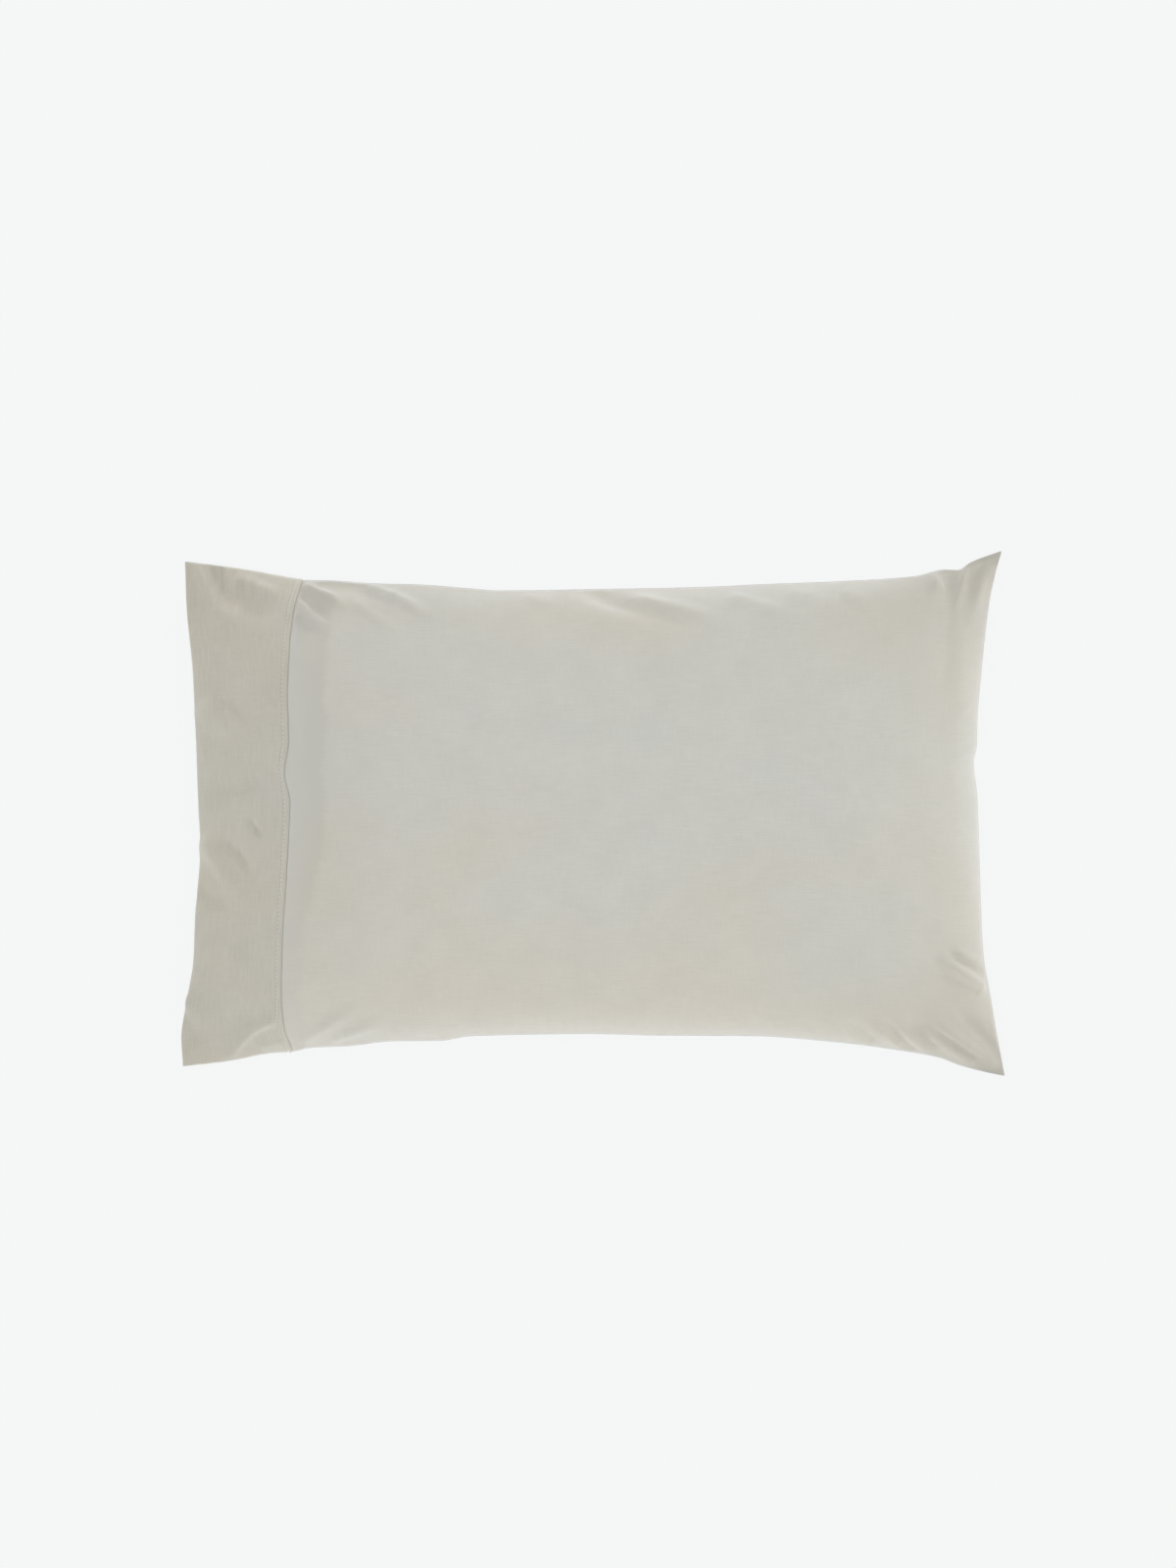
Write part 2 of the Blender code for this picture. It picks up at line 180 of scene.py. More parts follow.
# creases, given one by one: three points along each, as pixels of the photograph; half width at either end
# and rise in metres (a trough is negative); the share of it over which each end fades; and lean (above 0 it
# is steep on the right of its run)
creasePixels = {
    "body": [
        # fan from the hem line's upper end
        ((305, 594), (330, 607), (358, 623), 0.0042, 0.0060, 0.0054, 0.02, 0.45, 0.20),
        ((358, 611), (384, 630), (414, 650), 0.0056, 0.0076, 0.0024, 0.25, 0.50, -0.10),
        ((302, 610), (320, 628), (344, 650), 0.0054, 0.0074, 0.0037, 0.12, 0.50, -0.25),
        ((304, 602), (320, 619), (338, 637), 0.0048, 0.0098, -0.0048, 0.05, 0.40, 0.00),
        ((299, 630), (310, 641), (326, 654), 0.0070, 0.0110, -0.0034, 0.15, 0.50, 0.00),
        ((298, 650), (310, 659), (326, 670), 0.0070, 0.0090, -0.0014, 0.10, 0.55, 0.00),
        ((376, 598), (406, 612), (450, 634), 0.0056, 0.0068, 0.0054, 0.06, 0.50, 0.10),
        ((330, 594), (366, 601), (420, 620), 0.0070, 0.0060, -0.0047, 0.02, 0.65, -0.30),
        # middle of the upper side
        ((641, 607), (684, 621), (744, 632), 0.0080, 0.0096, 0.0050, 0.28, 0.45, 0.00),
        ((602, 602), (646, 618), (738, 640), 0.0066, 0.0085, -0.0056, 0.02, 0.70, -0.50),
        ((606, 602), (628, 609), (662, 620), 0.0056, 0.0070, -0.0017, 0.05, 0.50, -0.20),
        ((588, 614), (634, 634), (700, 650), 0.0120, 0.0150, 0.0008, 0.20, 0.60, 0.00),
        ((738, 606), (770, 617), (808, 627), 0.0086, 0.0088, 0.0034, 0.30, 0.35, -0.10),
        ((532, 606), (552, 613), (590, 622), 0.0070, 0.0100, 0.0022, 0.30, 0.60, 0.20),
        ((800, 602), (826, 608), (862, 616), 0.0080, 0.0100, 0.0018, 0.30, 0.60, 0.00),
        ((858, 602), (876, 610), (896, 616), 0.0070, 0.0090, 0.0016, 0.20, 0.60, 0.00),
        # upper corner of the closed end
        ((949, 584), (958, 596), (965, 608), 0.0064, 0.0064, 0.0044, 0.05, 0.50, -0.30),
        ((970, 582), (968, 600), (963, 624), 0.0085, 0.0100, -0.0060, 0.02, 0.70, 0.00),
        ((984, 581), (980, 600), (973, 628), 0.0044, 0.0060, 0.0030, 0.03, 0.50, 0.00),
        ((1009, 569), (993, 593), (980, 628), 0.0078, 0.0078, -0.0066, 0.02, 0.60, 0.00),
        ((1014, 576), (1001, 602), (991, 645), 0.0052, 0.0072, 0.0042, 0.12, 0.50, 0.00),
        # the closed end's side, where it turns down
        ((984, 632), (980, 690), (979, 755), 0.0110, 0.0120, 0.0016, 0.20, 0.40, 0.10),
        ((978, 740), (974, 786), (979, 840), 0.0100, 0.0100, 0.0010, 0.30, 0.40, 0.10),
        # lower corner of the closed end
        ((866, 1038), (879, 1051), (891, 1062), 0.0068, 0.0050, -0.0032, 0.50, 0.05, 0.00),
        ((891, 1042), (905, 1056), (919, 1068), 0.0080, 0.0060, 0.0036, 0.50, 0.05, -0.10),
        ((897, 1036), (913, 1054), (934, 1072), 0.0066, 0.0046, -0.0046, 0.60, 0.04, -0.10),
        ((913, 1038), (928, 1056), (945, 1073), 0.0070, 0.0056, 0.0034, 0.60, 0.05, 0.00),
        ((921, 1036), (938, 1054), (957, 1071), 0.0080, 0.0062, -0.0038, 0.55, 0.20, 0.00),
        ((940, 1046), (965, 1066), (993, 1087), 0.0060, 0.0050, 0.0054, 0.40, 0.05, -0.10),
        ((943, 1043), (977, 1067), (1021, 1096), 0.0038, 0.0050, -0.0050, 0.85, 0.02, 0.00),
        ((943, 1035), (978, 1059), (1017, 1087), 0.0068, 0.0052, 0.0066, 0.50, 0.05, 0.00),
        ((970, 1028), (999, 1053), (1019, 1076), 0.0096, 0.0056, -0.0054, 0.45, 0.05, 0.00),
        ((1010, 1030), (1015, 1052), (1019, 1074), 0.0046, 0.0036, 0.0036, 0.50, 0.20, 0.00),
        # the closed end above that corner
        ((954, 973), (978, 992), (1003, 1007), 0.0048, 0.0085, 0.0088, 0.45, 0.03, -0.05),
        ((965, 971), (984, 983), (1003, 993), 0.0040, 0.0036, -0.0026, 0.40, 0.05, 0.00),
        ((955, 985), (976, 1000), (999, 1012), 0.0050, 0.0040, -0.0018, 0.45, 0.10, 0.00),
        ((972, 967), (985, 975), (1001, 984), 0.0038, 0.0034, 0.0023, 0.45, 0.05, 0.00),
        # fan from the hem line's lower end
        ((308, 1064), (342, 1042), (384, 1018), 0.0052, 0.0074, 0.0025, 0.08, 0.55, -0.12),
        ((300, 1052), (332, 1034), (366, 1016), 0.0095, 0.0120, -0.0005, 0.10, 0.60, 0.00),
        ((340, 1063), (366, 1052), (396, 1043), 0.0048, 0.0068, 0.0030, 0.08, 0.60, -0.05),
        ((346, 1052), (366, 1042), (388, 1034), 0.0055, 0.0080, -0.0006, 0.20, 0.60, 0.00),
        ((306, 1020), (324, 994), (350, 962), 0.0080, 0.0120, 0.0015, 0.30, 0.60, 0.00),
        # a broad soft dip over the pillow's middle
        ((644, 642), (652, 724), (641, 830), 0.0240, 0.0280, -0.0024, 0.40, 0.50, 0.00),
    ],
    "cuff": [
        # pleats at the mouth's upper corner
        ((199, 577), (208, 598), (215, 624), 0.0040, 0.0060, 0.0044, 0.02, 0.55, 0.00),
        ((215, 578), (218, 592), (221, 606), 0.0045, 0.0060, -0.0060, 0.02, 0.60, 0.00),
        ((225, 580), (226, 598), (230, 626), 0.0034, 0.0060, -0.0060, 0.02, 0.55, 0.00),
        ((238, 581), (238, 588), (240, 596), 0.0030, 0.0036, -0.0016, 0.02, 0.60, 0.00),
        ((238, 587), (262, 598), (284, 611), 0.0070, 0.0076, 0.0050, 0.25, 0.28, 0.05),
        ((228, 606), (256, 621), (282, 638), 0.0130, 0.0165, -0.0050, 0.25, 0.40, 0.00),
        ((216, 612), (238, 632), (266, 646), 0.0090, 0.0110, 0.0028, 0.30, 0.60, 0.00),
        # folds where the band sags between the pillow and the floor
        ((202, 714), (228, 737), (260, 764), 0.0130, 0.0140, 0.0044, 0.25, 0.50, -0.20),
        ((216, 706), (240, 728), (264, 750), 0.0076, 0.0070, -0.0022, 0.40, 0.40, 0.00),
        ((208, 814), (240, 808), (282, 800), 0.0115, 0.0110, -0.0052, 0.45, 0.40, 0.00),
        ((256, 828), (259, 845), (275, 855), 0.0044, 0.0038, -0.0036, 0.35, 0.40, 0.00),
        ((267, 822), (270, 830), (276, 836), 0.0055, 0.0055, -0.0018, 0.30, 0.50, 0.00),
        ((220, 862), (241, 871), (259, 902), 0.0074, 0.0044, -0.0034, 0.40, 0.35, 0.30),
        ((203, 855), (225, 883), (244, 918), 0.0108, 0.0105, 0.0048, 0.20, 0.45, 0.00),
        ((198, 909), (218, 918), (250, 934), 0.0105, 0.0090, -0.0042, 0.25, 0.50, 0.20),
        ((262, 944), (256, 968), (250, 994), 0.0100, 0.0110, -0.0024, 0.40, 0.50, 0.00),
        ((240, 960), (235, 975), (232, 990), 0.0060, 0.0070, 0.0022, 0.40, 0.50, 0.00),
        # ridge that curls up to the hem line, and the mouth's lower corner
        ((235, 1081), (257, 1053), (289, 1040), 0.0052, 0.0056, 0.0044, 0.02, 0.25, 0.10),
        ((226, 1062), (244, 1040), (272, 1031), 0.0090, 0.0100, -0.0012, 0.20, 0.40, 0.00),
        ((262, 1069), (276, 1066), (292, 1064), 0.0042, 0.0042, 0.0018, 0.20, 0.20, -0.20),
        ((186, 1012), (197, 1029), (206, 1050), 0.0105, 0.0105, 0.0042, 0.35, 0.50, 0.40),
        ((192, 1058), (204, 1056), (216, 1060), 0.0090, 0.0090, -0.0014, 0.30, 0.50, 0.00),
    ],
}


def seenPlaces():
    # points spread over the plain upper side, and the pixel at which the camera sees each of them
    station, across = np.meshgrid(np.linspace(0, 2, photoFrame["placesAlong"]),
                                  np.linspace(-1, 1, photoFrame["placesAcross"]), indexing="ij")
    points = casePoints(station, across, True).reshape(-1, 3)
    perPixel = photoFrame["metresPerPixel"] * (1 - points[:, 2] / cameraPlace["distance"])
    right = photoFrame["width"] / 2 + (points[:, 0] - cameraPlace["x"]) / perPixel
    down = photoFrame["height"] / 2 - (points[:, 1] - cameraPlace["y"]) / perPixel
    return points, right, down


def creasesInMetres():
    # each listed pixel becomes x and y of the nearest seen point, to the millimetre
    points, right, down = seenPlaces()

    def onCase(pixel):
        nearest = ((right - pixel[0]) ** 2 + (down - pixel[1]) ** 2).argmin()
        return tuple(round(float(value), 3) for value in points[nearest, :2])

    return {piece: [(*(onCase(pixel) for pixel in row[:3]), *row[3:]) for row in rows]
            for piece, rows in creasePixels.items()}


creases = creasesInMetres()
print("creases:", sum(len(rows) for rows in creases.values()))

# how far out a crease is felt, in half widths; points along it; its least fade; the dip at its foot;
# and how fast its lean sets in
creaseShape = {"reach": 3.2, "points": 23, "leastFade": 0.02, "footDip": 0.3, "leanRate": 2}


def creaseRise(x, y, rows):
    s = creaseShape
    total = np.zeros_like(x)
    for start, middle, end, widthStart, widthEnd, rise, fadeIn, fadeOut, lean in rows:
        start, middle, end = (np.array(point) for point in (start, middle, end))
        reach = s["reach"] * max(widthStart, widthEnd) * (1 + abs(lean))
        low = np.minimum(np.minimum(start, middle), end) - reach
        high = np.maximum(np.maximum(start, middle), end) + reach
        near = (x > low[0]) & (x < high[0]) & (y > low[1]) & (y < high[1])
        px, py = x[near], y[near]
        steps = np.linspace(0, 1, s["points"])[:, None]
        pull = 2 * middle - (start + end) / 2
        path = (1 - steps) ** 2 * start + 2 * steps * (1 - steps) * pull + steps ** 2 * end
        best = np.full(px.shape, 1e9)
        share, side = np.zeros_like(px), np.zeros_like(px)
        for i in range(len(path) - 1):
            dx, dy = path[i + 1] - path[i]
            long = math.hypot(dx, dy)
            t = np.clip(((px - path[i, 0]) * dx + (py - path[i, 1]) * dy) / (dx * dx + dy * dy), 0, 1)
            offX, offY = px - path[i, 0] - t * dx, py - path[i, 1] - t * dy
            far = np.hypot(offX, offY)
            closer = far < best
            best = np.where(closer, far, best)
            share = np.where(closer, (i + t) / (len(path) - 1), share)
            side = np.where(closer, (dx * offY - dy * offX) / (long * np.maximum(far, 1e-9)), side)
        wide = blend(widthStart, widthEnd, share)
        u = best / (wide * (1 + lean * np.tanh(s["leanRate"] * side * best / wide)))
        least = s["leastFade"]
        fade = ease((share + least) / max(fadeIn, least)) * ease((1 + least - share) / max(fadeOut, least))
        total[near] += rise * fade * np.exp(-u * u) * (1 - s["footDip"] * u * u)
    return total


softWaves = {"count": 9, "shortest": 0.7, "longest": 1.5}


def softNoise(x, y, size, seed):
    # a smooth unevenness: a few crossing waves of about this size
    s = softWaves
    rng = np.random.default_rng(seed)
    total = np.zeros_like(x)
    for turn in rng.uniform(0, math.pi, s["count"]):
        k = 2 * math.pi / (size * rng.uniform(s["shortest"], s["longest"]))
        total += np.sin(k * (x * math.cos(turn) + y * math.sin(turn)) + rng.uniform(0, fullTurn))
    return total / math.sqrt(s["count"])


# slant: how far a gather leans as it runs in; calm: its share where the seam lies quietest
seamPucker = {"rise": 0.0007, "spacing": 0.017, "shortest": 0.7, "longest": 1.6, "waves": 5, "waveShare": 2.2,
              "slant": 0.25, "reach": 0.016, "uneven": 0.075, "calm": 0.35, "sideSeed": 11, "endSeed": 12,
              "patchSeed": 5}


def puckerRise(station, across, x, y):
    # small uneven gathers that run in from the sewn edges and soon die out
    s = seamPucker
    low, high = curves["lowerSide"](x), curves["upperSide"](x)
    fromSide = (1 - np.abs(across)) * (high - low) / 2
    fromEnd = (2 - station) * bodyLength
    total = np.zeros_like(x)
    for place, far, seed in ((x, fromSide, s["sideSeed"]), (y, fromEnd, s["endSeed"])):
        run = place + s["slant"] * far
        rng = np.random.default_rng(seed)
        wave = np.zeros_like(x)
        for size in s["spacing"] * rng.uniform(s["shortest"], s["longest"], s["waves"]):
            wave += np.sin(2 * math.pi * run / size + rng.uniform(0, fullTurn)) / s["waveShare"]
        patchNoise = softNoise(run, 0 * run + np.sign(across), s["uneven"], seed + s["patchSeed"])
        patches = blend(s["calm"], 1, ease(0.5 + patchNoise / 2))
        total += wave * patches * np.exp(-far / s["reach"])
    return s["rise"] * total


def gridFaces(index, flip=False):
    a, b, c, d = index[:-1, :-1], index[1:, :-1], index[1:, 1:], index[:-1, 1:]
    quads = np.stack([a, b, c, d] if not flip else [a, d, c, b], axis=-1)
    return quads.reshape(-1, 4).tolist()


def meshObject(name, points, faces, places, material):
    # cutPlace: where each point lay on the flat cloth, with its share of painted shade as the third number
    mesh = bpy.data.meshes.new(name)
    mesh.from_pydata(points.reshape(-1, 3).tolist(), [], faces)
    mesh.validate()
    mesh.update()
    place = mesh.attributes.new("cutPlace", "FLOAT_VECTOR", "POINT")
    place.data.foreach_set("vector", places.reshape(-1).astype(np.float32))
    mesh.shade_smooth()
    mesh.materials.append(material)
    obj = bpy.data.objects.new(name, mesh)
    bpy.context.scene.collection.objects.link(obj)
    return obj


class Sock:
    # wraps a socket, so that sums on shader values read as plain Python
    def __init__(self, shader, socket):
        self.shader, self.socket = shader, socket

    def __add__(self, other):
        return self.shader.maths("ADD", self, other)

    def __sub__(self, other):
        return self.shader.maths("SUBTRACT", self, other)

    def __rsub__(self, other):
        return self.shader.maths("SUBTRACT", other, self)

    def __mul__(self, other):
        return self.shader.maths("MULTIPLY", self, other)

    __radd__ = __add__
    __rmul__ = __mul__


class Shader:
    # adds nodes to the tree of a material or a world
    def __init__(self, owner):
        self.owner = owner
        owner.use_nodes = True
        self.tree = owner.node_tree
        self.tree.nodes.clear()

    def node(self, kind, settings=None, inputs=(), output=0):
        made = self.tree.nodes.new(kind)
        for key, value in (settings or {}).items():
            setattr(made, key, value)
        pairs = inputs.items() if isinstance(inputs, dict) else enumerate(inputs)
        for key, value in pairs:
            if isinstance(value, Sock):
                self.tree.links.new(value.socket, made.inputs[key])
            else:
                made.inputs[key].default_value = value
        return Sock(self, made.outputs[output]) if len(made.outputs) else None

    def maths(self, operation, *values):
        return self.node("ShaderNodeMath", {"operation": operation}, values)

    def noise(self, place, scale, detail=2.0, roughness=0.5):
        return self.node("ShaderNodeTexNoise", {}, {"Vector": place, "Scale": scale, "Detail": detail,
                                                    "Roughness": roughness})

    def mix(self, share, a, b):
        # inputs 6 and 7 are the colours of a colour Mix
        return self.node("ShaderNodeMix", {"data_type": "RGBA"}, {0: share, 6: a, 7: b}, output=2)

    def ramp(self, value, low, high, start, end):
        # runs smoothly from start to end while the value goes from low to high
        return self.node("ShaderNodeMapRange", {"interpolation_type": "SMOOTHSTEP"},
                         {"Value": value, "From Min": low, "From Max": high, "To Min": start, "To Max": end})

    def stretched(self, place, x, y, z=0.0):
        return self.node("ShaderNodeVectorMath", {"operation": "MULTIPLY"}, (place, (x, y, z)))

    def parts(self, place):
        split = self.node("ShaderNodeSeparateXYZ", {}, (place,)).socket.node
        return [Sock(self, output) for output in split.outputs]


def percale(name, look):
    # plain-woven cotton: slubby threads both ways, soft clouds of tone, a fine weave and faint rumples
    shader = Shader(bpy.data.materials.new(name))
    place = shader.node("ShaderNodeAttribute", {"attribute_name": "cutPlace"}, output=1)
    longX, longY = (1.0, look["threadShape"]) if look["threadsAlong"] == "x" else (look["threadShape"], 1.0)
    slubs = shader.noise(shader.stretched(place, longX, longY), look["slubScale"], 3.0, 0.6)
    crossScale = look["slubScale"] * look["crossFiner"]
    crossed = shader.noise(shader.stretched(place, longY, longX), crossScale, 3.0, 0.6)
    clouds = shader.noise(shader.stretched(place, 1.0, 1.0), look["cloudScale"], 3.0, 0.55)
    warmth = shader.noise(shader.stretched(place, 1.0, look["warmStretch"]), look["warmScale"], 2.0, 0.5)
    streaks = slubs * (1 - look["crossShare"]) + crossed * look["crossShare"]
    fromMouth, aside, shadeShare = shader.parts(place)
    tone = (streaks - 0.5) * look["slubTone"] + (clouds - 0.5) * look["cloudTone"] + 0.5
    # a darker band on the body beside the hem line, less so lower down
    lower = shader.ramp(aside, *look["hemWeakens"], 1.0, 0.0)
    hemPlace = fromMouth + (clouds - 0.5) * look["hemWander"] + lower * look["hemNarrows"]
    hemBand = shader.ramp(hemPlace, *look["hemFade"], 1.0, 0.0)
    tone = tone + hemBand * (clouds + 0.5) * (1.0 - lower * look["hemLost"]) * look["hemTone"]
    cool = shader.mix(tone, (*look["dark"], 1.0), (*look["light"], 1.0))
    warm = shader.mix(tone, (*look["warmDark"], 1.0), (*look["warmLight"], 1.0))
    # warmer along the seams, corners and borders (a painted warm tint for the warmer light the sides catch)
    # and towards the lower side, cooler towards the closed end
    warmer = (warmth - 0.5) * look["warmSpread"] + shadeShare * look["paintedRimWarmth"]
    warmer = warmer - aside * look["lowWarm"] + look["warmShare"]
    warmer = warmer - shader.ramp(fromMouth, *look["endFade"], 0.0, look["endCool"])
    colour = shader.mix(warmer, cool, warm)
    # painted shade: the cloth is darkened along the seams, in the corners and a little inside the borders
    colour = shader.mix(shadeShare * look["shadeStrength"], colour, (*look["paintedShade"], 1.0))
    pitch = 2 * math.pi / look["threadPitch"]
    warp = shader.maths("SINE", fromMouth * pitch)
    weft = shader.maths("SINE", aside * pitch)
    rumple = shader.noise(shader.stretched(place, 1.0, 1.0), look["rumpleScale"], 3.0, 0.55)
    height = warp * weft * look["weaveRise"] + (streaks - 0.5) * look["slubRise"]
    height = height + (rumple - 0.5) * look["rumpleRise"]
    bump = shader.node("ShaderNodeBump", {}, {"Height": height, "Distance": 1.0, "Strength": 1.0})
    rough = (clouds - 0.5) * look["roughSpread"] + look["roughness"]
    surface = shader.node("ShaderNodeBsdfPrincipled", {}, {
        "Base Color": colour, "Roughness": rough, "Normal": bump, "Metallic": 0.0,
        "Specular IOR Level": look["specular"], "Sheen Weight": look["sheen"],
        "Sheen Roughness": look["fuzz"]})
    shader.node("ShaderNodeOutputMaterial", {}, (surface,))
    return shader.owner


bodyLook = {
    # the cloth's own tones, and its warmer ones, which also give the painted warm tint along the seams
    "light": (0.628, 0.632, 0.596), "dark": (0.551, 0.555, 0.522),
    "warmLight": (0.640, 0.616, 0.550), "warmDark": (0.562, 0.541, 0.483),
    "warmShare": 0.30, "warmSpread": 2.1, "warmScale": 5.0, "warmStretch": 1.3,
    "lowWarm": 0.9, "paintedRimWarmth": 2.2, "endCool": 0.4, "endFade": (0.45, 0.80),
    # threads and clouds
    "threadsAlong": "x", "threadShape": 22.0, "slubScale": 40.0, "slubTone": 2.3,
    "crossFiner": 1.3, "crossShare": 0.4, "cloudScale": 26.0, "cloudTone": 0.7,
    # painted shade along the seams, in the corners and a little inside the borders, and a darker band beside
    # the hem line;
    # the places are metres on the flat cloth, from the mouth or middle
    "paintedShade": (0.350, 0.345, 0.318), "shadeStrength": 0.46,
    "hemTone": -1.10, "hemFade": (0.129, 0.146), "hemWander": 0.012, "hemNarrows": 0.020,
    "hemWeakens": (-0.20, 0.02), "hemLost": 0.60,
    # relief and gloss
    "threadPitch": 0.00042, "weaveRise": 0.00003, "slubRise": 0.00022,
    "rumpleScale": 60.0, "rumpleRise": 0.0006,
    "roughness": 0.88, "roughSpread": 0.08, "specular": 0.4, "sheen": 1.0, "fuzz": 0.42,
}
cuffLook = dict(bodyLook, threadsAlong="y", warmShare=0.56, lowWarm=-0.5, hemTone=0.0, slubTone=2.6,
                light=(0.561, 0.552, 0.505), dark=(0.477, 0.468, 0.425),
                warmLight=(0.565, 0.536, 0.461), warmDark=(0.479, 0.453, 0.386))
pillowLook = dict(bodyLook, light=(0.80, 0.80, 0.78), dark=(0.74, 0.74, 0.72), warmLight=(0.80, 0.79, 0.76),
                  warmDark=(0.74, 0.73, 0.70), threadPitch=0.0007, hemTone=0.0)
threadLook = dict(bodyLook, light=(0.70, 0.69, 0.63), dark=(0.62, 0.61, 0.56), warmLight=(0.70, 0.68, 0.60),
                  warmDark=(0.62, 0.60, 0.53), slubScale=400.0, weaveRise=0.0, hemTone=0.0)

bodyCloth = percale("body percale", bodyLook)
cuffCloth = percale("cuff percale", cuffLook)
pillowCloth = percale("pillow ticking", pillowLook)
threadCloth = percale("sewing thread", threadLook)
print("materials: 4")

# the upper side as it settles over the pillow
cutSize = {"length": 0.813, "width": 0.510, "cuff": 0.100}
settle = {"cellsAlong": 220, "cellsAcross": 140, "frames": 18, "pressure": 4.0, "most": 0.007, "quality": 7,
          "mass": 0.2, "stretch": 40.0, "press": 20.0, "shear": 8.0, "bend": 0.35, "air": 4.0,
          "mouthHold": 0.35, "smoothing": 5}


def cutPlaces(station, across):
    # where a point of the upper side lay on the flat cut cloth
    station, across = np.broadcast_arrays(np.asarray(station, float), np.asarray(across, float))
    along = np.where(station < 1, station * cutSize["cuff"],
                     cutSize["cuff"] + (station - 1) * (cutSize["length"] - cutSize["cuff"]))
    return along, across * cutSize["width"] / 2


# painted shade, standing in for the shade along the seams, in the corners and in a band a little inside the
# borders:
# a share, then how far in it reaches
edgeShading = {"tip": (0.24, 0.045), "corner": (0.50, 0.165), "border": (0.24, 0.100), "borderLine": 0.022,
            "seam": (0.8, 0.0035), "hemTop": (0.35, 0.045), "hemTopAlong": 0.20}


def falloff(distance, reach):
    return np.exp(-(distance / reach) ** 2)


def paintedShade(fromSeam, fromCorner, fromBorder):
    # painted shade: a line along the side seams, a band a little inside the borders, most in the corners
    parts = [(fromCorner, *edgeShading["tip"]), (fromCorner, *edgeShading["corner"]), (fromSeam, *edgeShading["seam"])]
    total = sum(share * falloff(distance, reach) for distance, share, reach in parts)
    share, reach = edgeShading["border"]
    inside = falloff(fromBorder, reach) * (1 - falloff(fromBorder, edgeShading["borderLine"]))
    return np.clip(total + share * inside, 0, 1)


def settleUpper():
    # cloth cut to its true flat size, held at its seams, is pressed out by the pillow
    s = settle
    station, across = np.meshgrid(np.linspace(0, 2, s["cellsAlong"] + 1),
                                  np.linspace(-1, 1, s["cellsAcross"] + 1), indexing="ij")
    start = casePoints(station, across, True)
    along, aside = cutPlaces(station, across)
    index = np.arange(station.size).reshape(station.shape)
    mesh = bpy.data.meshes.new("upperPanel")
    mesh.from_pydata(start.reshape(-1, 3).tolist(), [], gridFaces(index))
    panel = bpy.data.objects.new("upperPanel", mesh)
    bpy.context.scene.collection.objects.link(panel)
    panel.shape_key_add(name="lying")
    cut = panel.shape_key_add(name="cut")
    flat = np.stack([along, aside, 0 * along], axis=-1)
    cut.data.foreach_set("co", flat.reshape(-1).astype(np.float32))
    held = panel.vertex_groups.new(name="held")
    held.add([int(i) for i in (*index[:, 0], *index[:, -1], *index[-1, 1:-1])], 1.0, "REPLACE")
    held.add([int(i) for i in index[0, 1:-1]], s["mouthHold"], "REPLACE")
    cloth = panel.modifiers.new("settle", "CLOTH")
    cloth.settings.quality = s["quality"]
    cloth.settings.mass = s["mass"]
    cloth.settings.air_damping = s["air"]
    cloth.settings.tension_stiffness = s["stretch"]
    cloth.settings.compression_stiffness = s["press"]
    cloth.settings.shear_stiffness = s["shear"]
    cloth.settings.bending_stiffness = s["bend"]
    cloth.settings.use_pressure = True
    cloth.settings.uniform_pressure_force = s["pressure"]
    cloth.settings.vertex_group_mass = "held"
    cloth.settings.rest_shape_key = cut
    cloth.settings.effector_weights.gravity = 0.0
    for frameNo in range(1, s["frames"] + 1):
        bpy.context.scene.frame_set(frameNo)
    settledMesh = panel.evaluated_get(bpy.context.evaluated_depsgraph_get()).data
    after = np.zeros(station.size * 3, np.float32)
    settledMesh.vertices.foreach_get("co", after)
    move = after.reshape(start.shape) - start
    bpy.context.scene.frame_set(1)
    bpy.data.objects.remove(panel)
    for _ in range(s["smoothing"]):
        around = move[:-2, 1:-1] + move[2:, 1:-1] + move[1:-1, :-2] + move[1:-1, 2:]
        move[1:-1, 1:-1] = move[1:-1, 1:-1] / 2 + around / 8
    far = np.linalg.norm(move, axis=-1)
    print("settled: moved", round(float(far.mean()) * 1000, 2), "mm on average,",
          round(float(far.max()) * 1000, 2), "mm at most")
    return move * (s["most"] * np.tanh(far / s["most"]) / np.maximum(far, 1e-9))[..., None]


settledMove = settleUpper()


def settled(station, across):
    # the settled move at any point, smoothly between the panel's own points
    rows, columns = settledMove.shape[:2]
    u = np.clip(station / 2, 0, 1) * (rows - 1)
    v = np.clip((across + 1) / 2, 0, 1) * (columns - 1)
    i, j = np.clip(u.astype(int), 0, rows - 2), np.clip(v.astype(int), 0, columns - 2)
    tu, tv = u - i, v - j

    def weights(t):
        return ((-t + 2 * t * t - t ** 3) / 2, (2 - 5 * t * t + 3 * t ** 3) / 2,
                (t + 4 * t * t - 3 * t ** 3) / 2, (-t * t + t ** 3) / 2)

    total = np.zeros((*u.shape, 3))
    for a, wu in enumerate(weights(tu)):
        for b, wv in enumerate(weights(tv)):
            ia, jb = np.clip(i + a - 1, 0, rows - 1), np.clip(j + b - 1, 0, columns - 1)
            total += (wu * wv)[..., None] * settledMove[ia, jb]
    return total


# how relief grows: in from the outline by shares of the fullness, past the hem line by a share of the
# body's length and off the floor in metres; and the plain unevenness
relief = {"hemShare": 0.01, "creaseAtEdge": 0.25, "creaseOver": 0.20, "puckerOver": 0.12,
          "uneven": 0.00040, "unevenSize": 0.11, "unevenSeed": 3, "unevenOver": 0.4,
          "outwardFrom": 0.04, "outwardOver": 0.36, "lowerPucker": 1.3, "liftFrom": 0.003, "liftOver": 0.012}


def facingAt(station, across, upper=True):
    # which way the plain side faces, from points a small step apart
    nudge = 0.004
    along = casePoints(station + nudge, across, upper) - casePoints(station - nudge, across, upper)
    low, high = np.maximum(across - nudge, -1), np.minimum(across + nudge, 1)
    normal = np.cross(along, casePoints(station, high, upper) - casePoints(station, low, upper))
    return normal / np.maximum(np.linalg.norm(normal, axis=-1, keepdims=True), 1e-12)


